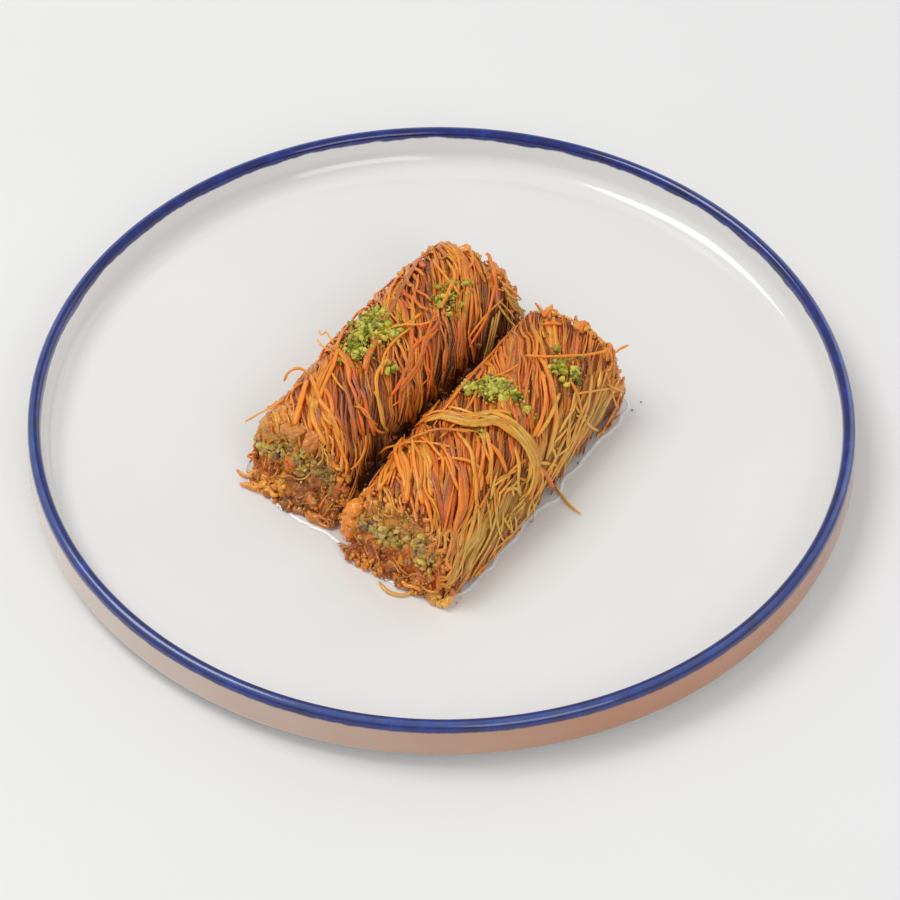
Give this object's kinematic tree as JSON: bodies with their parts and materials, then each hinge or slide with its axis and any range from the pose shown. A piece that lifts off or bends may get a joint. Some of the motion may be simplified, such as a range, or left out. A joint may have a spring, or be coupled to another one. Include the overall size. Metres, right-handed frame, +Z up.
{
  "type": "plated baklava",
  "caption": "Shredded-pastry baklava rolls with pistachio filling, lying side by side on a low-walled round plate with a coloured rim.",
  "frame": {"origin": "centre of the plate's foot, on the surface that the plate stands on", "axes": "+Z up; the rolls lie about 56 degrees round from +X towards +Y, with their cut front ends towards -X and -Y"},
  "size_m": [0.2114, 0.2114, 0.032],
  "materials": {
    "glaze": "smooth glossy white glaze",
    "rim": "glossy dark blue glaze band on the lip",
    "pastry": "baked shredded pastry, soaked with syrup",
    "nuts": "crushed pistachio, moist",
    "syrup": "thin clear sugar syrup"
  },
  "bodies": {
    "root": {"plate": "glaze", "roll_left_pastry": "pastry", "roll_left_filling": "nuts", "roll_right_pastry": "pastry", "roll_right_filling": "nuts"}
  },
  "joints": []
}
